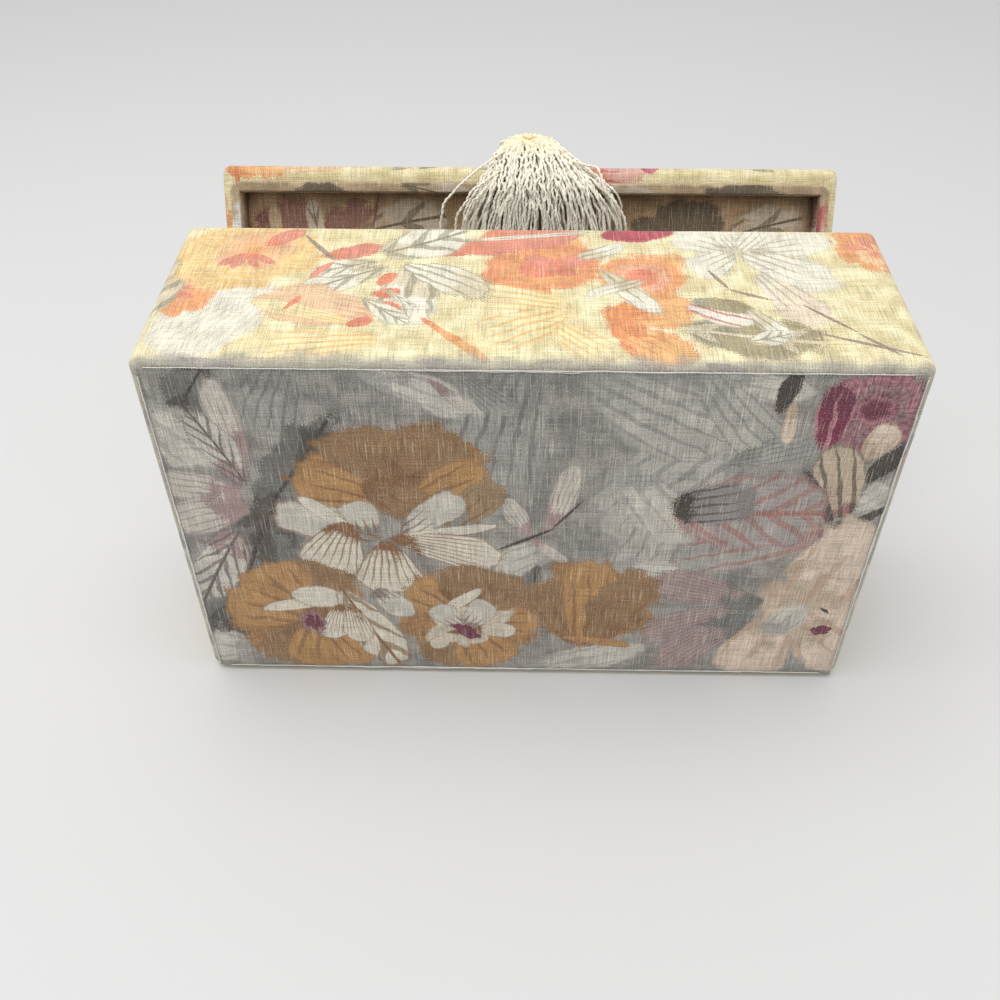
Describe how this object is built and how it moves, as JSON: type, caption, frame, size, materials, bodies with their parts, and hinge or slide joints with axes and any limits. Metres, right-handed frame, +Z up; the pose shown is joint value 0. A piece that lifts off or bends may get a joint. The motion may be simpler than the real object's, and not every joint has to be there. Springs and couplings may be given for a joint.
{
  "type": "brocade keepsake box",
  "caption": "Cloth-covered board keepsake box stood on its hinge side, padded lid ajar on a cloth hinge, with a yarn tassel on the lid's front edge.",
  "frame": {"origin": "on the ground, at the middle of the whole stance, under the centre of its bounding box", "axes": "+X to the right along the box's long side, +Y away from the base face towards the lid, +Z up"},
  "size_m": [0.2936, 0.1852, 0.1834],
  "materials": {
    "board": "matt grey-brown board",
    "printed_cloth": "printed slub-weave cloth, cream ground with peonies",
    "base_cloth": "printed slub-weave cloth with raw frayed edges",
    "lining": "thin printed lining in dull browns and mauves",
    "sponge": "open sponge sheet",
    "yarn": "twisted ivory yarn",
    "binding_thread": "yellow thread"
  },
  "bodies": {
    "case": {"case_base_board": "board", "case_front_board": "board", "case_back_board": "board", "case_left_board": "board", "case_right_board": "board", "case_wall_wrap": "printed_cloth", "case_base_cloth": "base_cloth", "case_wall_lining": "lining", "case_floor_lining": "lining", "hinge_case_leaf": "printed_cloth"},
    "lid": {"lid_top_board": "board", "lid_front_board": "board", "lid_back_board": "board", "lid_left_board": "board", "lid_right_board": "board", "lid_pad": "sponge", "lid_top_cloth": "printed_cloth", "lid_wall_wrap": "printed_cloth", "lid_wall_lining": "lining", "lid_floor_lining": "lining", "hinge_lid_leaf": "printed_cloth"},
    "tassel": {"tassel_cord": "yarn", "tassel_binding": "binding_thread", "tassel_skirt": "yarn"}
  },
  "joints": [
    {"name": "lid_hinge", "type": "hinge", "parent": "case", "child": "lid", "pos_m": [0, 0.01117, 0.00619], "axis": [-1, 0, 0], "range_deg": [-25, 70]},
    {"name": "tassel_swing", "type": "hinge", "parent": "lid", "child": "tassel", "pos_m": [0, 0.08984, 0.16755], "axis": [1, 0, 0], "range_deg": [-105, 0], "deforming": ["tassel_skirt"]}
  ]
}
